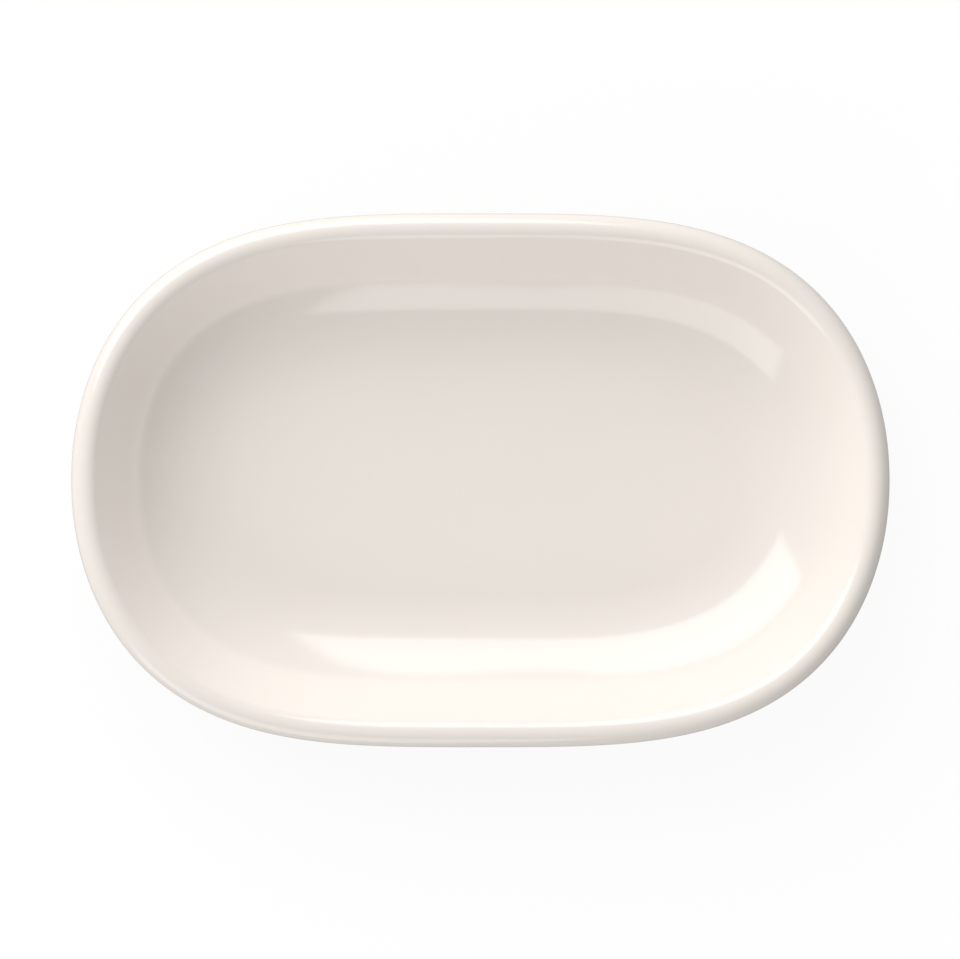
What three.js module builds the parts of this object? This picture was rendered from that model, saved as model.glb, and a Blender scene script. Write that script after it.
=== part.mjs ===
// Oval plate of glazed porcelain with a rolled lip and a foot ring, in millimetres.
// The origin is the middle of the foot ring's standing face, +X runs along the plate and +Z is up.
//
// The porcelain is drawn as one section along the plate's long axis: from the middle of the underside out
// over the foot ring, up the outside of the wall, round the lip and back down to the middle of the floor.
// Each coat of glaze lies on a stretch of that same section, so it meets the porcelain face to face.
// A section is turned into a round dish first, and the round dish is then drawn out to the oval.
import * as THREE from 'three';

// Sizes over the glaze
const LENGTH = 210;
const WIDTH = 137;
const HEIGHT = 30;

// How full the ovals of the edge and of the floor are: 2 is an ellipse's, and a higher number is squarer
// The floor's oval is the squarer one, so that the wall slopes alike all the way round
const EDGE_SIDE_FULLNESS = 3.45;
const EDGE_END_FULLNESS = 2.05;
const FLOOR_SIDE_FULLNESS = 4.3;
const FLOOR_END_FULLNESS = 2.4;

// The wall: one thickness all over, at one slope below the lip, then a wide sweep down to the flat floor
const THICKNESS = 4.4;
const WALL_SLOPE = THREE.MathUtils.degToRad(52);
const SWEEP_RADIUS = 32.3;
const LEAST_FLOOR_HALF_WIDTH = 8;

// The rolled lip, and the hollow under it where the roll runs into the outside of the wall
const LIP_RADIUS = 3.5;
const UNDERCUT_RADIUS = 4;

// The foot ring stands under the edge of the flat floor, and reaches out past it
const FOOT_REACH = 3.9;
const FOOT_WIDTH = 4;
const FOOT_HEIGHT = 2.4;
const FOOT_FILLET_RADIUS = 1;
const FOOT_EDGE_RADIUS = 0.6;

// The glaze, which is wiped off the lowest band of the foot ring
const GLAZE_THICKNESS = 0.3;
const BARE_BAND = 1;

// How finely the curves are cut into flats
const TURN_STEPS = 64;
const LIP_STEPS = 4;
const UNDERCUT_STEPS = 3;
const INNER_SWEEP_STEPS = 7;
const OUTER_SWEEP_STEPS = 4;
const FOOT_STEPS = 2;
const NEWTON_STEPS = 12;

const QUARTER = Math.PI / 2;
const CORNERS_PER_FACET = 6;

// The porcelain's own outline, inside its glaze
const halfLength = LENGTH / 2 - GLAZE_THICKNESS;
const halfWidth = WIDTH / 2 - GLAZE_THICKNESS;
const crestHeight = HEIGHT - GLAZE_THICKNESS;
const floorHeight = FOOT_HEIGHT + THICKNESS;

// Directions in the section: x out from the middle, y up
const upTheWall = new THREE.Vector2(Math.cos(WALL_SLOPE), Math.sin(WALL_SLOPE));
const intoTheDish = new THREE.Vector2(-Math.sin(WALL_SLOPE), Math.cos(WALL_SLOPE));

// The lip's circle touches the wall's inner face, and stands proud of its outer face
const lipCentre = new THREE.Vector2(halfLength - LIP_RADIUS, crestHeight - LIP_RADIUS);
const innerWallTop = lipCentre.clone().addScaledVector(intoTheDish, LIP_RADIUS);

// The undercut's circle touches the lip's circle from below and the wall's outer face
const lipToOuterFace = THICKNESS - LIP_RADIUS;
const undercutOut = lipToOuterFace + UNDERCUT_RADIUS;
const undercutDown = Math.sqrt((LIP_RADIUS + UNDERCUT_RADIUS) ** 2 - undercutOut ** 2);
const undercutCentre = lipCentre.clone()
  .addScaledVector(intoTheDish, -undercutOut)
  .addScaledVector(upTheWall, -undercutDown);
const lipToUndercut = undercutCentre.clone().sub(lipCentre);

// The sweep leaves a straight wall under the lip, and some flat floor across the plate
const wallRise = innerWallTop.y - floorHeight;
const wallTopHalfWidth = halfWidth - (halfLength - innerWallTop.x);
const sweepLimitByHeight = (wallRise - undercutDown * upTheWall.y) / (1 - upTheWall.x);
const sweepLimitByWidth = (wallTopHalfWidth - LEAST_FLOOR_HALF_WIDTH - wallRise / Math.tan(WALL_SLOPE))
  / Math.tan(WALL_SLOPE / 2);
const innerSweepRadius = Math.min(SWEEP_RADIUS, sweepLimitByHeight, sweepLimitByWidth);
const outerSweepRadius = innerSweepRadius + THICKNESS;
const straightWall = (wallRise - innerSweepRadius * (1 - upTheWall.x)) / upTheWall.y;
const floorHalfLength = innerWallTop.x - straightWall * upTheWall.x - innerSweepRadius * upTheWall.y;
const sweepCentre = new THREE.Vector2(floorHalfLength, floorHeight + innerSweepRadius);

// The foot ring's sides are upright, with a fillet at the root of each and a small round on each edge
const footOuter = floorHalfLength + FOOT_REACH;
const footInner = footOuter - FOOT_WIDTH;
const footFilletRadius = Math.min(FOOT_FILLET_RADIUS, FOOT_HEIGHT - BARE_BAND);
const footEdgeRadius = Math.min(FOOT_EDGE_RADIUS, BARE_BAND);
const innerFilletCentre = new THREE.Vector2(footInner - footFilletRadius, FOOT_HEIGHT - footFilletRadius);
const outerFilletReach = outerSweepRadius + footFilletRadius;
const footSlope = Math.asin((FOOT_REACH + footFilletRadius) / outerFilletReach);
const outerFilletCentre = new THREE.Vector2(
  footOuter + footFilletRadius,
  sweepCentre.y - outerFilletReach * Math.cos(footSlope),
);

// A place on the section, with the direction that points out of the porcelain there
function place(x, y, normalX, normalY) {
  return { point: new THREE.Vector2(x, y), normal: new THREE.Vector2(normalX, normalY) };
}

// Places along an arc, between two angles from the +x direction
// A hollow arc has the open side at its centre, so its normals point there
function arc(centre, radius, startAngle, endAngle, steps, hollow = false) {
  const places = [];
  for (let step = 0; step <= steps; step += 1) {
    const angle = THREE.MathUtils.lerp(startAngle, endAngle, step / steps);
    const side = hollow ? -1 : 1;
    const x = centre.x + radius * Math.cos(angle);
    const y = centre.y + radius * Math.sin(angle);
    places.push(place(x, y, side * Math.cos(angle), side * Math.sin(angle)));
  }
  return places;
}

// The underside inside the foot ring, from its middle to the line where the glaze ends
const baseSection = [
  place(0, FOOT_HEIGHT, 0, -1),
  ...arc(innerFilletCentre, footFilletRadius, QUARTER, 0, FOOT_STEPS, true),
  place(footInner, BARE_BAND, -1, 0),
];

// The bare edge of the foot ring, which the plate stands on
const standingSection = [
  ...arc(
    new THREE.Vector2(footInner + footEdgeRadius, footEdgeRadius),
    footEdgeRadius, 2 * QUARTER, 3 * QUARTER, FOOT_STEPS,
  ),
  ...arc(
    new THREE.Vector2(footOuter - footEdgeRadius, footEdgeRadius),
    footEdgeRadius, 3 * QUARTER, 4 * QUARTER, FOOT_STEPS,
  ),
];

// The outside, the lip and the inside, from the glaze line on the foot ring to the middle of the floor
const dishSection = [
  place(footOuter, BARE_BAND, 1, 0),
  ...arc(outerFilletCentre, footFilletRadius, 2 * QUARTER, QUARTER + footSlope, FOOT_STEPS, true),
  ...arc(
    sweepCentre, outerSweepRadius, footSlope - QUARTER, WALL_SLOPE - QUARTER, OUTER_SWEEP_STEPS,
  ).slice(1),
  ...arc(
    undercutCentre, UNDERCUT_RADIUS, WALL_SLOPE + QUARTER, lipToUndercut.angle() - 2 * QUARTER,
    UNDERCUT_STEPS, true,
  ),
  ...arc(lipCentre, LIP_RADIUS, lipToUndercut.angle() - 4 * QUARTER, 0, LIP_STEPS).slice(1),
  ...arc(lipCentre, LIP_RADIUS, 0, QUARTER, LIP_STEPS).slice(1),
  ...arc(lipCentre, LIP_RADIUS, QUARTER, QUARTER + WALL_SLOPE, LIP_STEPS).slice(1),
  ...arc(
    sweepCentre, innerSweepRadius, WALL_SLOPE - QUARTER, -QUARTER, INNER_SWEEP_STEPS, true,
  ),
  place(0, floorHeight, 0, 1),
];

function porcelainFace(section) {
  return section.map(({ point }) => point);
}

function glazeFace(section) {
  return section.map(({ point, normal }) => point.clone().addScaledVector(normal, GLAZE_THICKNESS));
}

// How far an oval reaches at an angle, as a multiple of the ellipse with the same axes
// It solves (reach cos)^sideFullness + (reach sin)^endFullness = 1
function ovalReach(angle, sideFullness, endFullness) {
  const along = Math.abs(Math.cos(angle));
  const across = Math.abs(Math.sin(angle));
  let reach = 1;
  for (let step = 0; step < NEWTON_STEPS; step += 1) {
    const sidePart = (reach * along) ** sideFullness;
    const endPart = (reach * across) ** endFullness;
    const slope = (sideFullness * sidePart + endFullness * endPart) / reach;
    reach -= (sidePart + endPart - 1) / slope;
  }
  return reach;
}

// The oval of the ring whose half length is given
// The wall is equally wide all round, and the rings of the flat floor shrink evenly to the middle
function ringOval(ringHalfLength) {
  const inset = halfLength - Math.max(ringHalfLength, floorHalfLength);
  const wayToFloor = inset / (halfLength - floorHalfLength);
  const floorShare = Math.min(ringHalfLength / floorHalfLength, 1);
  return {
    ringHalfWidth: (halfWidth - inset) * floorShare,
    sideFullness: THREE.MathUtils.lerp(EDGE_SIDE_FULLNESS, FLOOR_SIDE_FULLNESS, wayToFloor),
    endFullness: THREE.MathUtils.lerp(EDGE_END_FULLNESS, FLOOR_END_FULLNESS, wayToFloor),
  };
}

// Splits each four-sided facet along its shorter diagonal, so two solids that share a face split it alike
// A turned facet's two triangles list its corners in the order a b d, c d b
function splitFacets(geometry) {
  const { position } = geometry.attributes;
  const indices = geometry.index.array;
  const corner = (vertex) => new THREE.Vector3().fromBufferAttribute(position, vertex);
  for (let start = 0; start < indices.length; start += CORNERS_PER_FACET) {
    const [a, b, d, c] = indices.slice(start, start + CORNERS_PER_FACET);
    const lengthAC = corner(a).distanceTo(corner(c));
    const lengthBD = corner(b).distanceTo(corner(d));
    if (lengthAC < lengthBD) {
      indices.set([a, b, c, c, d, a], start);
    }
  }
}

// Turns a section about the upright axis, then draws each round ring out to its oval
function ovalSolid(section) {
  const geometry = new THREE.LatheGeometry(section, TURN_STEPS);
  geometry.rotateX(QUARTER);
  const position = geometry.attributes.position;
  for (let index = 0; index < position.count; index += 1) {
    const radius = Math.hypot(position.getX(index), position.getY(index));
    const angle = Math.atan2(position.getY(index), position.getX(index));
    const { ringHalfWidth, sideFullness, endFullness } = ringOval(radius);
    const reach = ovalReach(angle, sideFullness, endFullness);
    position.setX(index, radius * reach * Math.cos(angle));
    position.setY(index, ringHalfWidth * reach * Math.sin(angle));
  }
  splitFacets(geometry);
  geometry.computeVertexNormals();
  return geometry;
}

function piece(name, section, material) {
  const mesh = new THREE.Mesh(ovalSolid(section), material);
  mesh.name = name;
  return mesh;
}

const porcelainSection = [
  ...porcelainFace(baseSection),
  ...porcelainFace(standingSection),
  ...porcelainFace(dishSection),
];
const glazeCoatSection = [
  ...porcelainFace(dishSection).reverse(),
  ...glazeFace(dishSection),
];
const baseGlazeSection = [
  ...glazeFace(baseSection),
  ...porcelainFace(baseSection).reverse(),
];

const plate = new THREE.Group();
plate.add(
  piece(
    'porcelain_body',
    porcelainSection,
    new THREE.MeshStandardMaterial({ color: '#ded6ca', roughness: 0.8, metalness: 0 }),
  ),
  piece(
    'glaze_coat',
    glazeCoatSection,
    new THREE.MeshStandardMaterial({ color: '#ece5dc', roughness: 0.12, metalness: 0 }),
  ),
  piece(
    'base_glaze',
    baseGlazeSection,
    new THREE.MeshStandardMaterial({ color: '#ece5dc', roughness: 0.15, metalness: 0 }),
  ),
);

export default plate;
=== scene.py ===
# %% [markdown]
# # An oval plate of glazed porcelain
# The plate is one piece of porcelain, pressed, fired, dipped in a cream glaze and fired again. The packed
# model holds its three solids: the porcelain, the glaze over the dish and the glaze under the base.
# A rendered plate is mostly reflections, and these show every flat of a coarse mesh, so each solid gets a
# finer surface here, worked out from the same section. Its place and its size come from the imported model.

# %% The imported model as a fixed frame
import bpy
import numpy as np
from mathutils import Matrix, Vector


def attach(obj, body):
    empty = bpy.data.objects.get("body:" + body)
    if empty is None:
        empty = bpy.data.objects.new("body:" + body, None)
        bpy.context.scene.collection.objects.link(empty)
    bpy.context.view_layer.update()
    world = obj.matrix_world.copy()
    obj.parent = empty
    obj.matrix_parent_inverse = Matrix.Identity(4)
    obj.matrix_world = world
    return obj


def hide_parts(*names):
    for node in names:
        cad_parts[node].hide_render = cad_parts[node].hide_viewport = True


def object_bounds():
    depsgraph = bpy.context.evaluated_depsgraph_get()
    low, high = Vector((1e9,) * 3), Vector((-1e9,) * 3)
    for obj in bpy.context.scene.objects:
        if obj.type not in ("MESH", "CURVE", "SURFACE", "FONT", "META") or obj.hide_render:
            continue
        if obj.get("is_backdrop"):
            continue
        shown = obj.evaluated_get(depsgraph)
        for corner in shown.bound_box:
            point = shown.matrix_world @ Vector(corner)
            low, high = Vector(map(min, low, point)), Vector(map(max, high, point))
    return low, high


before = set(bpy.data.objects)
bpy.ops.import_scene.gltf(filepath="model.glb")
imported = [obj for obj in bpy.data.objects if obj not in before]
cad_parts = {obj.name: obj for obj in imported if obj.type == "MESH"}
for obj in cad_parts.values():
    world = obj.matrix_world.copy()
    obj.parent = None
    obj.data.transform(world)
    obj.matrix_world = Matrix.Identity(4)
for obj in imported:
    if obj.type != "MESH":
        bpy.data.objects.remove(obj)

MM = 0.001
cad_low, cad_high = (np.array(corner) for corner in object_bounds())
print("CAD box in mm:", np.round((cad_high - cad_low) / MM, 2))

# %% [markdown]
# ## The camera
# The photograph looks straight down on the plate, and its two long sides stay parallel, so the camera hangs
# high above with a long lens. The lens is chosen first. The height follows from how wide the plate is in
# the picture, and the small offsets put the plate's middle where the photograph has it.

# %% The camera
IMAGE_WIDTH = 960
PLATE_LENGTH_IN_PIXELS = 818.3
PLATE_OFFSET_IN_PIXELS = (0.4, -0.8)
WIDEST_HEIGHT = 26.2 * MM
LENS = 200
SENSOR = 36

pixel = (cad_high[0] - cad_low[0]) / PLATE_LENGTH_IN_PIXELS
camera_data = bpy.data.cameras.new("overhead_camera")
camera_data.lens = LENS
camera_data.sensor_width = SENSOR
camera = bpy.data.objects.new("overhead_camera", camera_data)
camera.location = (
    -PLATE_OFFSET_IN_PIXELS[0] * pixel,
    -PLATE_OFFSET_IN_PIXELS[1] * pixel,
    WIDEST_HEIGHT + IMAGE_WIDTH * pixel * LENS / SENSOR,
)
bpy.context.scene.collection.objects.link(camera)
bpy.context.scene.camera = camera
print("camera height in mm:", round(camera.location.z / MM))

# %% [markdown]
# ## The section
# A plate like this is shaped by one section that runs round it: foot ring, wall, rolled lip, wall and floor.
# Arcs and straight lines that touch each other are enough to draw it, as a mould maker would with a compass.
# The heights and lengths below are the porcelain's own, inside its glaze.

# %% The section's own dimensions
GLAZE = 0.3 * MM
THICKNESS = 4.4 * MM
WALL_SLOPE = np.radians(52)
SWEEP_RADIUS = 32.3 * MM
LIP_RADIUS = 3.5 * MM
UNDERCUT_RADIUS = 4 * MM

half_length = cad_high[0] - GLAZE
half_width = cad_high[1] - GLAZE
crest_height = cad_high[2] - GLAZE
up_the_wall = np.array([np.cos(WALL_SLOPE), np.sin(WALL_SLOPE)])
into_the_dish = np.array([-np.sin(WALL_SLOPE), np.cos(WALL_SLOPE)])

lip_centre = np.array([half_length - LIP_RADIUS, crest_height - LIP_RADIUS])
inner_wall_top = lip_centre + LIP_RADIUS * into_the_dish
undercut_out = THICKNESS - LIP_RADIUS + UNDERCUT_RADIUS
undercut_down = np.sqrt((LIP_RADIUS + UNDERCUT_RADIUS) ** 2 - undercut_out**2)
undercut_centre = lip_centre - undercut_out * into_the_dish - undercut_down * up_the_wall
undercut_angle = np.arctan2(*(undercut_centre - lip_centre)[::-1])

# %% The floor and the foot ring under its edge
FOOT_REACH = 3.9 * MM
FOOT_WIDTH = 4 * MM
FOOT_HEIGHT = 2.4 * MM
FOOT_FILLET_RADIUS = 1 * MM
FOOT_EDGE_RADIUS = 0.6 * MM
BARE_BAND = 1 * MM

floor_height = FOOT_HEIGHT + THICKNESS
wall_rise = inner_wall_top[1] - floor_height
straight_wall = (wall_rise - SWEEP_RADIUS * (1 - up_the_wall[0])) / up_the_wall[1]
floor_half_length = inner_wall_top[0] - straight_wall * up_the_wall[0] - SWEEP_RADIUS * up_the_wall[1]
sweep_centre = np.array([floor_half_length, floor_height + SWEEP_RADIUS])
outer_sweep_radius = SWEEP_RADIUS + THICKNESS

foot_outer = floor_half_length + FOOT_REACH
foot_inner = foot_outer - FOOT_WIDTH
inner_fillet_centre = np.array([foot_inner - FOOT_FILLET_RADIUS, FOOT_HEIGHT - FOOT_FILLET_RADIUS])
outer_fillet_reach = outer_sweep_radius + FOOT_FILLET_RADIUS
foot_slope = np.arcsin((FOOT_REACH + FOOT_FILLET_RADIUS) / outer_fillet_reach)
outer_fillet_centre = np.array(
    [foot_outer + FOOT_FILLET_RADIUS, sweep_centre[1] - outer_fillet_reach * np.cos(foot_slope)]
)
print("flat floor's half length in mm:", round(floor_half_length / MM, 2))

# %% [markdown]
# ## Places along the section
# Each place on the section carries the direction that points out of the porcelain there, because the glaze
# is laid on along it. Places stand closer together on the tight curves than on the wide ones.

# %% Arcs, lines and chains of them
SAME_PLACE = 0.001 * MM


def arc(centre, radius, start, stop, spacing, hollow=False):
    """Places along an arc: the centre plus the radius times the cosine and sine of an angle that runs evenly
    from start to stop. The normal points away from the centre, or towards it where the arc is hollow."""
    count = int(np.ceil(abs(stop - start) * radius / spacing)) + 1
    angle = np.linspace(start, stop, count)
    outward = np.stack([np.cos(angle), np.sin(angle)], axis=1)
    normal = -outward if hollow else outward
    return np.hstack([centre + radius * outward, normal])


def line(start, stop, spacing):
    """Places along a straight line, start plus a growing share of the way to stop. The normal is the line's
    direction turned clockwise by a quarter, which is the open side for someone walking along it."""
    way = np.subtract(stop, start)
    length = np.hypot(*way)
    share = np.linspace(0, 1, int(np.ceil(length / spacing)) + 1)[:, None]
    normal = np.array([way[1], -way[0]]) / length
    return np.hstack([start + share * way, np.tile(normal, (len(share), 1))])


def chain(*stretches):
    """Joins stretches end to end, and leaves out a place that repeats the one before it."""
    places = np.vstack(stretches)
    step = np.hypot(*np.diff(places[:, :2], axis=0).T)
    return places[np.concatenate([[True], step > SAME_PLACE])]


# %% The two stretches of the foot
QUARTER = np.pi / 2
FLAT_SPACING = 3 * MM
FILLET_SPACING = 0.2 * MM
GLAZE_LINE_SPACING = 0.06 * MM
BARE_SIDE_SPACING = 0.2 * MM
FOOT_EDGE_SPACING = 0.12 * MM
STANDING_SPACING = 0.7 * MM


def base_stretch(coarseness):
    """From the middle of the underside out to the line inside the foot ring where the glaze ends."""
    return chain(
        line((0, FOOT_HEIGHT), (inner_fillet_centre[0], FOOT_HEIGHT), FLAT_SPACING * coarseness),
        arc(inner_fillet_centre, FOOT_FILLET_RADIUS, QUARTER, 0, FILLET_SPACING * coarseness, hollow=True),
        line((foot_inner, inner_fillet_centre[1]), (foot_inner, BARE_BAND), GLAZE_LINE_SPACING * coarseness),
    )


def standing_stretch():
    """The bare band of the foot ring, from glaze line to glaze line round its two soft edges."""
    inner_edge = np.array([foot_inner + FOOT_EDGE_RADIUS, FOOT_EDGE_RADIUS])
    outer_edge = np.array([foot_outer - FOOT_EDGE_RADIUS, FOOT_EDGE_RADIUS])
    return chain(
        line((foot_inner, BARE_BAND), (foot_inner, inner_edge[1]), BARE_SIDE_SPACING),
        arc(inner_edge, FOOT_EDGE_RADIUS, 2 * QUARTER, 3 * QUARTER, FOOT_EDGE_SPACING),
        line((inner_edge[0], 0), (outer_edge[0], 0), STANDING_SPACING),
        arc(outer_edge, FOOT_EDGE_RADIUS, 3 * QUARTER, 4 * QUARTER, FOOT_EDGE_SPACING),
        line((foot_outer, outer_edge[1]), (foot_outer, BARE_BAND), BARE_SIDE_SPACING),
    )


# %% The stretch of the dish
OUTER_SWEEP_SPACING = 1.2 * MM
UNDERCUT_SPACING = 0.4 * MM
LIP_SPACING = 0.35 * MM
WALL_SPACING = 0.6 * MM
INNER_SWEEP_SPACING = 0.8 * MM


def dish_stretch(coarseness):
    """From the glaze line outside the foot ring up the wall, round the lip and down to the floor's middle."""
    lip_turns = (undercut_angle, 0, QUARTER, QUARTER + WALL_SLOPE)
    lip = [
        arc(lip_centre, LIP_RADIUS, start, stop, LIP_SPACING * coarseness)
        for start, stop in zip(lip_turns, lip_turns[1:])
    ]
    return chain(
        line((foot_outer, BARE_BAND), (foot_outer, outer_fillet_centre[1]), GLAZE_LINE_SPACING * coarseness),
        arc(outer_fillet_centre, FOOT_FILLET_RADIUS, 2 * QUARTER, QUARTER + foot_slope,
            FILLET_SPACING * coarseness, hollow=True),
        arc(sweep_centre, outer_sweep_radius, foot_slope - QUARTER, WALL_SLOPE - QUARTER,
            OUTER_SWEEP_SPACING * coarseness),
        arc(undercut_centre, UNDERCUT_RADIUS, WALL_SLOPE + QUARTER, undercut_angle + 2 * QUARTER,
            UNDERCUT_SPACING * coarseness, hollow=True),
        *lip,
        line(inner_wall_top, inner_wall_top - straight_wall * up_the_wall, WALL_SPACING * coarseness),
        arc(sweep_centre, SWEEP_RADIUS, WALL_SLOPE - QUARTER, -QUARTER,
            INNER_SWEEP_SPACING * coarseness, hollow=True),
        line((floor_half_length, floor_height), (0, floor_height), FLAT_SPACING * coarseness),
    )


print("places on the dish's stretch:", len(dish_stretch(1)))

# %% [markdown]
# ## From section to oval
# Seen from above, the edge is not an ellipse. Its long sides are nearly straight and its ends are full, so
# each ring is an oval with one power for the sides and another for the ends. The rings step in by the same
# amount all round the wall, as on the real plate, where the wall is equally wide everywhere.

# %% Ovals for whole arrays of rings
EDGE_FULLNESS = (3.45, 2.05)
FLOOR_FULLNESS = (4.3, 2.4)
NEWTON_STEPS = 12
COLUMNS = 288

column_angle = np.arange(COLUMNS) * 2 * np.pi / COLUMNS


def oval_rings(section):
    """Carries a section round the plate. A ring with half length a and half width b has its points at
    (a r cos t, b r sin t), where r solves (r |cos t|)^sides + (r |sin t|)^ends = 1 by Newton's steps."""
    ring_length = section[:, 0:1]
    inset = half_length - np.maximum(ring_length, floor_half_length)
    way_to_floor = inset / (half_length - floor_half_length)
    ring_width = (half_width - inset) * np.minimum(ring_length / floor_half_length, 1)
    sides, ends = (
        at_edge + (at_floor - at_edge) * way_to_floor
        for at_edge, at_floor in zip(EDGE_FULLNESS, FLOOR_FULLNESS)
    )
    cosine, sine = np.cos(column_angle), np.sin(column_angle)
    reach = np.ones((len(section), COLUMNS))
    for _ in range(NEWTON_STEPS):
        side_part = (reach * np.abs(cosine)) ** sides
        end_part = (reach * np.abs(sine)) ** ends
        reach -= (side_part + end_part - 1) * reach / (sides * side_part + ends * end_part)
    height = np.broadcast_to(section[:, 1:2], reach.shape)
    return np.stack([ring_length * reach * cosine, ring_width * reach * sine, height], axis=-1)


# %% A closed mesh from rings that start and end in a pole
def ring_mesh(name, rings, crease=None):
    """Joins neighbouring rings with four-sided faces and closes the first and last ring to a point. The
    numbers of the corners are one array, and its shifted copies give all the faces at once. The ring whose
    number is given as the crease stays a sharp edge."""
    row_count = len(rings) - 2
    corners = np.vstack([rings[0, :1], rings[1:-1].reshape(-1, 3), rings[-1, :1]])
    here = 1 + np.arange(row_count * COLUMNS).reshape(row_count, COLUMNS)
    beside = np.roll(here, -1, axis=1)
    quads = np.stack([here[:-1], beside[:-1], beside[1:], here[1:]], axis=-1).reshape(-1, 4)
    first_pole = np.stack([np.zeros(COLUMNS, int), beside[0], here[0]], axis=-1)
    last_pole = np.stack([np.full(COLUMNS, len(corners) - 1), here[-1], beside[-1]], axis=-1)
    mesh = bpy.data.meshes.new(name)
    mesh.from_pydata(corners, [], quads.tolist() + first_pole.tolist() + last_pole.tolist())
    mesh.polygons.foreach_set("use_smooth", np.ones(len(mesh.polygons), bool))
    if crease is not None:
        ends = np.empty(len(mesh.edges) * 2, np.int32)
        mesh.edges.foreach_get("vertices", ends)
        on_crease = np.isin(ends.reshape(-1, 2), here[crease - 1]).all(axis=1)
        mesh.edges.foreach_set("use_edge_sharp", on_crease)
    mesh.update()
    made = bpy.data.objects.new(name, mesh)
    bpy.context.scene.collection.objects.link(made)
    print(name, "has", 2 * len(quads) + 2 * COLUMNS, "triangles")
    return made


# %% [markdown]
# ## The porcelain
# The porcelain body fills the plate from the foot ring to the lip. Only the band that it stands on is bare,
# so that is where its rings lie close together. The rest is under the glaze and may be coarse.

# %% The porcelain body
UNDER_GLAZE = 2.5

porcelain = ring_mesh(
    "bare_porcelain_shell",
    oval_rings(chain(base_stretch(UNDER_GLAZE), standing_stretch(), dish_stretch(UNDER_GLAZE))),
)

# %% [markdown]
# ## The glaze
# A coat of glaze is a closed shell: its lower face lies on the porcelain and its upper face lies one glaze
# thickness further out. Where the glaze is wiped off the foot ring, the molten edge draws back into a small
# round shoulder, so the thickness falls to nothing along a quarter of a circle.

# %% The two coats of glaze
SHOULDER = 0.6 * MM


def glaze_face(stretch, line_at_end=False):
    """Lifts a stretch along its normals by the glaze's thickness. The thickness is the full one times
    sqrt(1 - (1 - d)^2), where d is the way from the glaze line in shoulder widths, at most one."""
    step = np.hypot(*np.diff(stretch[:, :2], axis=0).T)
    way = np.concatenate([[0], np.cumsum(step)])
    way = way[-1] - way if line_at_end else way
    share = np.minimum(way / SHOULDER, 1)
    thickness = GLAZE * np.sqrt(1 - (1 - share) ** 2)
    return np.hstack([stretch[:, :2] + thickness[:, None] * stretch[:, 2:], stretch[:, 2:]])


dish_inside = dish_stretch(UNDER_GLAZE)[::-1]
glazed_dish = ring_mesh(
    "glazed_dish",
    oval_rings(chain(dish_inside, glaze_face(dish_stretch(1)))),
    crease=len(dish_inside) - 1,
)
base_outside = glaze_face(base_stretch(1), line_at_end=True)
glazed_base = ring_mesh(
    "glazed_base",
    oval_rings(chain(base_outside, base_stretch(UNDER_GLAZE)[::-1])),
    crease=len(base_outside) - 1,
)

# %% [markdown]
# ## Colours and nodes
# Colours are written as sRGB hex values, as a paint chart gives them, and Blender wants linear light. One
# function turns the first into the second. Another adds a node, sets it and links it in one call, and the
# steps that every finish is made of are short functions on top of it.


# %% Colours, and a node in one call
def linear(hex_colour):
    """Linear light from sRGB: a channel c is c / 12.92 up to 0.04045, and ((c + 0.055) / 1.055)^2.4 above."""
    channel = np.array([int(hex_colour[i:i + 2], 16) for i in (1, 3, 5)]) / 255
    light = np.where(channel <= 0.04045, channel / 12.92, ((channel + 0.055) / 1.055) ** 2.4)
    return (*light.tolist(), 1.0)


def add_node(tree, kind, inputs, **settings):
    """Adds a node, sets its settings, and fills each named input with a value or a link from another node."""
    node = tree.nodes.new(kind)
    for name, value in settings.items():
        setattr(node, name, value)
    for socket, value in inputs.items():
        if isinstance(value, bpy.types.NodeSocket):
            tree.links.new(value, node.inputs[socket])
        else:
            node.inputs[socket].default_value = value
    return node


def empty_tree(owner):
    """Switches a material, a lamp or the world to nodes, and clears those that it starts with."""
    owner.use_nodes = True
    owner.node_tree.nodes.clear()
    return owner.node_tree


# %% The steps that finishes are made of
def noise(tree, place, size, detail):
    """Noise from 0 to 1 in lumps of about the size given. The scale is how often that fits in a metre."""
    node = add_node(tree, "ShaderNodeTexNoise", {"Vector": place, "Scale": 1 / size, "Detail": detail})
    return node.outputs[0]


def ramp(tree, value, ends, levels, interpolation="SMOOTHSTEP"):
    """A level that goes from the first one to the second while the value goes from one end to the other."""
    node = add_node(
        tree, "ShaderNodeMapRange",
        {"Value": value, "From Min": ends[0], "From Max": ends[1], "To Min": levels[0], "To Max": levels[1]},
        interpolation_type=interpolation,
    )
    return node.outputs[0]


def product(tree, first, second):
    """The first value times the second."""
    return add_node(tree, "ShaderNodeMath", {0: first, 1: second}, operation="MULTIPLY").outputs[0]


def mixed(tree, share, first, second):
    """A colour: the first times one minus the share, plus the second times the share."""
    node = add_node(tree, "ShaderNodeMix", {0: share, 6: first, 7: second}, data_type="RGBA")
    return node.outputs[2]
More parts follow.
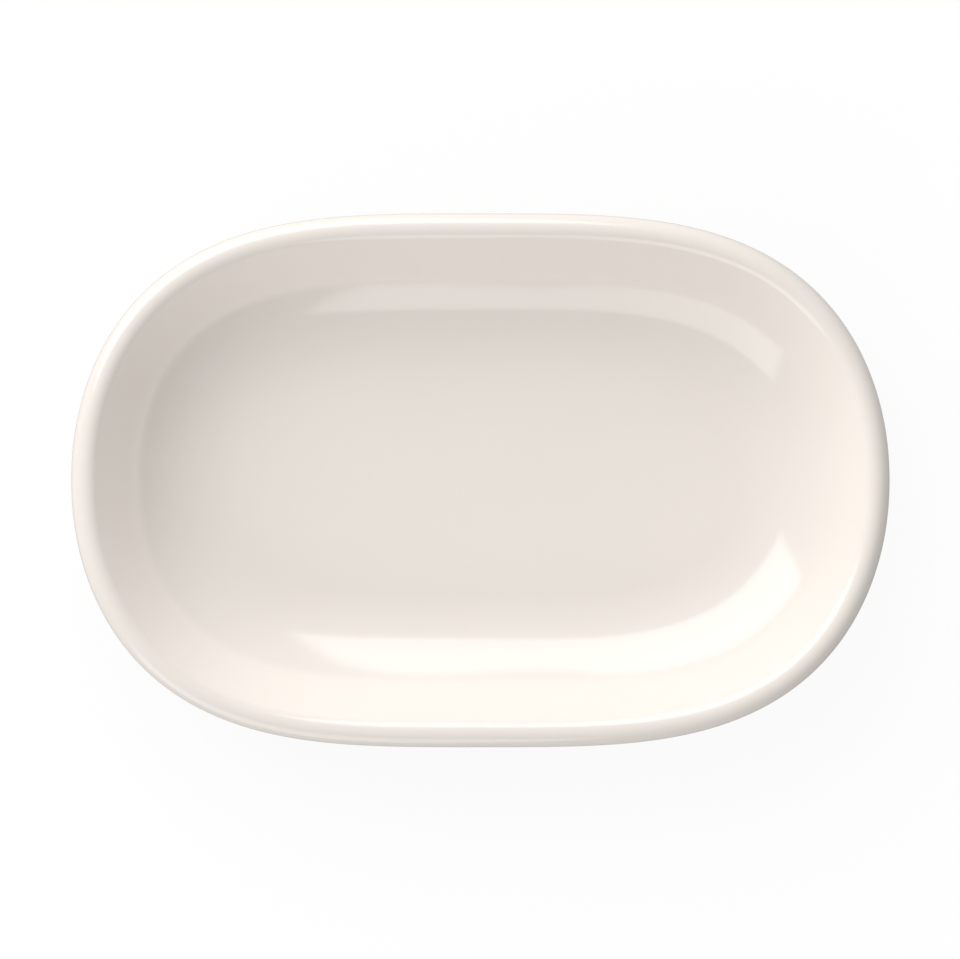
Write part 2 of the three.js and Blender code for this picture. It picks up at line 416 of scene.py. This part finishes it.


# %% [markdown]
# ## The cream glaze
# Glazed porcelain: a thin glass coat, melted on at well over a thousand degrees. It gives the eye a sharp,
# weak mirror over a soft warm white. Its colour also holds painted light and shade: above a soft line where
# the wall flattens, the upper wall is painted paler as painted light, less so towards the lip, and the lip is
# painted a little greyer as painted shade. Both are weakest towards the right end. At the wiped line the coat
# gathers, so the cream is deeper at the foot.

# %% The cream glaze's colour
CLOUD = 40 * MM
CLOUD_DETAIL = 3.0
# Painted light and shade on the glaze: where the paler painted band starts, where the lip starts, how the
# painting fades towards the right, how much painted light is left under the lip, and how grey the painted
# shade on the lip is.
PAINTED_LIGHT_LINE = (14.6 * MM, 17.2 * MM)
LIP_START = (28.2 * MM, 29.7 * MM)
PAINT_FADES_TO_RIGHT = (20 * MM, 85 * MM)
PAINTED_SHARE_LEVELS = (0.8, 0.05)
PAINTED_LIGHT_UNDER_LIP = 0.45
PAINTED_SHADE_ON_LIP = 0.9
GATHERED_BAND = 1.2 * MM
GATHERED_SHARE = 0.7

cream_glaze = bpy.data.materials.new("glazed_porcelain_cream")
tree = empty_tree(cream_glaze)
place = add_node(tree, "ShaderNodeTexCoord", {}).outputs["Object"]
along, _, height = add_node(tree, "ShaderNodeSeparateXYZ", {0: place}).outputs

cloud = noise(tree, place, CLOUD, CLOUD_DETAIL)
clouded = mixed(tree, cloud, linear("#EAE3DB"), linear("#EEE7E0"))
# The painted light and the painted shade are strongest over most of the plate and fade almost away at its
# right end.
painted_share_along = ramp(tree, along, PAINT_FADES_TO_RIGHT, PAINTED_SHARE_LEVELS)
# Painted light: above this line the upper wall is painted paler, and the paleness weakens towards the lip.
above_painted_line = ramp(tree, height, PAINTED_LIGHT_LINE, (0.0, 1.0))
painted_light_towards_lip = ramp(tree, height, (PAINTED_LIGHT_LINE[1], LIP_START[0]), (1.0, PAINTED_LIGHT_UNDER_LIP), "LINEAR")
painted_light_mask = product(tree, product(tree, above_painted_line, painted_light_towards_lip), painted_share_along)
# Painted light: the paler cream that the upper wall band is painted with.
with_painted_light = mixed(tree, painted_light_mask, clouded, linear("#F3ECE5"))
# Painted shade: the lip is painted greyer.
painted_shade_mask = product(tree, ramp(tree, height, LIP_START, (0.0, PAINTED_SHADE_ON_LIP)), painted_share_along)
with_painted_shade = mixed(tree, painted_shade_mask, with_painted_light, linear("#E8E1DA"))
at_line = ramp(tree, height, (BARE_BAND, BARE_BAND + GATHERED_BAND), (GATHERED_SHARE, 0.0))
cream = mixed(tree, at_line, with_painted_shade, linear("#DCCFBE"))

# %% [markdown]
# The mirror in the glaze is not perfect. The melt settles into shallow waves a few centimetres long and a
# finer skin like an orange's, and its gloss wanders a little from place to place.

# %% The cream glaze's gloss
GLOSS_CLOUD = 12 * MM
GLOSS_DETAIL = 2.0
GLOSS_ROUGHNESS = (0.11, 0.15)
GLAZE_WAVE = 28 * MM
GLAZE_WAVE_HEIGHT = 0.02 * MM
GLAZE_SKIN = 2.5 * MM
GLAZE_SKIN_HEIGHT = 0.0012 * MM
SMOOTH_DETAIL = 1.0
GLAZE_IOR = 1.6

gloss = ramp(tree, noise(tree, place, GLOSS_CLOUD, GLOSS_DETAIL), (0.0, 1.0), GLOSS_ROUGHNESS, "LINEAR")
wave = noise(tree, place, GLAZE_WAVE, SMOOTH_DETAIL)
waved = add_node(
    tree, "ShaderNodeBump",
    {"Height": wave, "Strength": 1.0, "Distance": GLAZE_WAVE_HEIGHT},
)
skin = noise(tree, place, GLAZE_SKIN, SMOOTH_DETAIL)
skinned = add_node(
    tree, "ShaderNodeBump",
    {"Height": skin, "Strength": 1.0, "Distance": GLAZE_SKIN_HEIGHT, "Normal": waved.outputs[0]},
)
shader = add_node(
    tree, "ShaderNodeBsdfPrincipled",
    {"Base Color": cream, "Roughness": gloss, "IOR": GLAZE_IOR, "Normal": skinned.outputs[0]},
)
add_node(tree, "ShaderNodeOutputMaterial", {"Surface": shader.outputs[0]})
for coat in (glazed_dish, glazed_base):
    coat.data.materials.append(cream_glaze)
print("nodes in the cream glaze:", len(tree.nodes))

# %% [markdown]
# ## The bare porcelain
# Fired porcelain without glaze: dense, white and matt, with a fine sandy tooth. The foot ring is rubbed on
# kiln shelves and tables, so its standing face carries faint grey scuffs.

# %% The bare porcelain
SCUFF = 5 * MM
SCUFF_DETAIL = 5.0
SCUFF_ON_SIDES = 0.2
GRAIN = 0.35 * MM
GRAIN_DETAIL = 2.0
GRAIN_HEIGHT = 0.02 * MM
MATT_ROUGHNESS = (0.65, 0.85)
PORCELAIN_IOR = 1.5

bare_porcelain = bpy.data.materials.new("bare_fired_porcelain")
tree = empty_tree(bare_porcelain)
place = add_node(tree, "ShaderNodeTexCoord", {}).outputs["Object"]
height = add_node(tree, "ShaderNodeSeparateXYZ", {0: place}).outputs["Z"]
scuff = noise(tree, place, SCUFF, SCUFF_DETAIL)
worn = ramp(tree, height, (0.0, FOOT_EDGE_RADIUS), (1.0, SCUFF_ON_SIDES), "LINEAR")
scuffed = mixed(tree, product(tree, scuff, worn), linear("#DED6CA"), linear("#B9B0A4"))
grain = noise(tree, place, GRAIN, GRAIN_DETAIL)
matt = ramp(tree, grain, (0.0, 1.0), MATT_ROUGHNESS, "LINEAR")
tooth = add_node(
    tree, "ShaderNodeBump",
    {"Height": grain, "Strength": 1.0, "Distance": GRAIN_HEIGHT},
)
shader = add_node(
    tree, "ShaderNodeBsdfPrincipled",
    {"Base Color": scuffed, "Roughness": matt, "IOR": PORCELAIN_IOR, "Normal": tooth.outputs[0]},
)
add_node(tree, "ShaderNodeOutputMaterial", {"Surface": shader.outputs[0]})
porcelain.data.materials.append(bare_porcelain)
print("nodes in the bare porcelain:", len(tree.nodes))

# %% [markdown]
# ## Which solid each piece stands for
# The plate has no joints, so every piece rides on the one body. Each new surface stands for the solid that it
# was worked out from, and that solid is hidden. Each finish was given above.

# %% Pieces on the frame
for piece, node, slot in (
    (porcelain, "porcelain_body", "bare_porcelain"),
    (glazed_dish, "glaze_coat", "cream_glaze"),
    (glazed_base, "base_glaze", "cream_glaze"),
):
    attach(piece, "root")
    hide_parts(node)
    print(piece.name, "stands for", node)

# %% [markdown]
# ## The softboxes
# The glaze shows the studio. A bright reflection on the wall nearest the viewer and a weaker one on the far
# wall come from two tall softboxes at the left, one behind the plate and one in front. The one behind fades
# towards its foot, as a softbox does that is lit from above.

# %% Two softboxes
FADE_START = 0.62


def softbox(name, azimuth, distance, height, width, length, lean, radiance, foot_share):
    """Hangs a bright rectangle that leans over the plate. Its middle is at the distance and height given, in
    the direction of the azimuth, which turns to the right from straight behind the plate. The lean is from
    the upright. The power is the radiance times pi times the area. Low down, the radiance falls evenly to
    the share that is left at the foot."""
    lamp = bpy.data.lights.new(name, "AREA")
    lamp.shape = "RECTANGLE"
    lamp.size = width
    lamp.size_y = length
    lamp.energy = radiance * np.pi * width * length
    stand = bpy.data.objects.new(name, lamp)
    turn = np.radians(azimuth)
    stand.location = (distance * np.sin(turn), distance * np.cos(turn), height)
    stand.rotation_euler = (np.radians(lean) - np.pi / 2, 0, -turn)
    bpy.context.scene.collection.objects.link(stand)
    tree = empty_tree(lamp)
    spot = add_node(tree, "ShaderNodeNewGeometry", {}).outputs["Parametric"]
    way_down = add_node(tree, "ShaderNodeSeparateXYZ", {0: spot}).outputs["Y"]
    fade = ramp(tree, way_down, (FADE_START, 1.0), (1.0, foot_share), "LINEAR")
    bright = add_node(tree, "ShaderNodeEmission", {"Strength": fade})
    add_node(tree, "ShaderNodeOutputLight", {"Surface": bright.outputs[0]})


softbox(
    "softbox_behind", azimuth=-32.2, distance=1.3125, height=0.69, width=1.824, length=1.515, lean=24.4,
    radiance=2.68, foot_share=0.35,
)
softbox(
    "softbox_in_front", azimuth=-155.5, distance=1.2, height=0.418, width=1.215, length=0.924, lean=25.2,
    radiance=1.66, foot_share=1.0,
)

# %% [markdown]
# ## The room
# The room is dim, and dimmest low down at the right, so the left wall, which faces there, is the darkest. A
# pale ceiling corner behind at the right gives a little light back. How near a direction is to one of these
# places is the dot product of the two.

# %% A dim room
ROOM = 0.556
ROOM_AT_RIGHT = 0.25
TO_THE_RIGHT = (0.87, -0.5, 0.0)
NEAR_THE_RIGHT = (0.5, 0.95)
CORNER_GAIN = 0.22
TO_THE_CORNER = (0.5, 0.6, 0.62)
NEAR_THE_CORNER = (0.6, 0.95)

world = bpy.data.worlds.new("dim_room")
bpy.context.scene.world = world
tree = empty_tree(world)
way = add_node(tree, "ShaderNodeTexCoord", {}).outputs["Generated"]
to_the_right, to_the_corner = (
    add_node(tree, "ShaderNodeVectorMath", {0: way, 1: goal}, operation="DOT_PRODUCT").outputs["Value"]
    for goal in (TO_THE_RIGHT, TO_THE_CORNER)
)
dimmed = ramp(tree, to_the_right, NEAR_THE_RIGHT, (ROOM, ROOM_AT_RIGHT))
corner = ramp(tree, to_the_corner, NEAR_THE_CORNER, (0.0, CORNER_GAIN))
level = add_node(tree, "ShaderNodeMath", {0: dimmed, 1: corner}, operation="ADD")
room = add_node(tree, "ShaderNodeBackground", {"Color": linear("#FFFFFF"), "Strength": level.outputs[0]})
add_node(tree, "ShaderNodeOutputWorld", {"Surface": room.outputs[0]})

# %% [markdown]
# ## The table
# The plate stands on white paper. To the camera the paper is mostly a glow, so it shows as white as in the
# photograph and keeps a faint shadow. To the plate it is a light grey that gives less light back, so the
# outer edge of the lip stays a little darker than the paper.

# %% The white table
TABLE_HALF = 4.0
TABLE_GLOW = 0.9
TABLE_GLOW_MIRRORED = 0.25

table_mesh = bpy.data.meshes.new("white_table")
table_mesh.from_pydata(
    [(x * TABLE_HALF, y * TABLE_HALF, 0) for x, y in ((-1, -1), (1, -1), (1, 1), (-1, 1))],
    [],
    [(0, 1, 2, 3)],
)
table = bpy.data.objects.new("white_table", table_mesh)
bpy.context.scene.collection.objects.link(table)
table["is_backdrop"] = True

white_paper = bpy.data.materials.new("white_paper")
tree = empty_tree(white_paper)
ray = add_node(tree, "ShaderNodeLightPath", {}).outputs
mirrored = add_node(
    tree, "ShaderNodeMath",
    {0: ray["Is Glossy Ray"], 1: ray["Is Transmission Ray"]},
    operation="MAXIMUM",
)
glow_share = add_node(
    tree, "ShaderNodeMath",
    {0: ray["Is Camera Ray"], 1: TABLE_GLOW, 2: product(tree, mirrored.outputs[0], TABLE_GLOW_MIRRORED)},
    operation="MULTIPLY_ADD",
)
tone = mixed(tree, ray["Is Camera Ray"], linear("#A8A8A8"), linear("#FFFFFF"))
paper = add_node(tree, "ShaderNodeBsdfDiffuse", {"Color": tone})
glow = add_node(tree, "ShaderNodeEmission", {"Strength": 1.0})
lit = add_node(
    tree, "ShaderNodeMixShader",
    {0: glow_share.outputs[0], 1: paper.outputs[0], 2: glow.outputs[0]},
)
add_node(tree, "ShaderNodeOutputMaterial", {"Surface": lit.outputs[0]})
table_mesh.materials.append(white_paper)
print("the table is", 2 * TABLE_HALF, "m wide")

# %% [markdown]
# ## The view
# The picture is shown as it is lit, with the Standard view. The new surfaces must not be larger than the
# solids that they stand for.

# %% View
bpy.context.scene.view_settings.view_transform = "Standard"
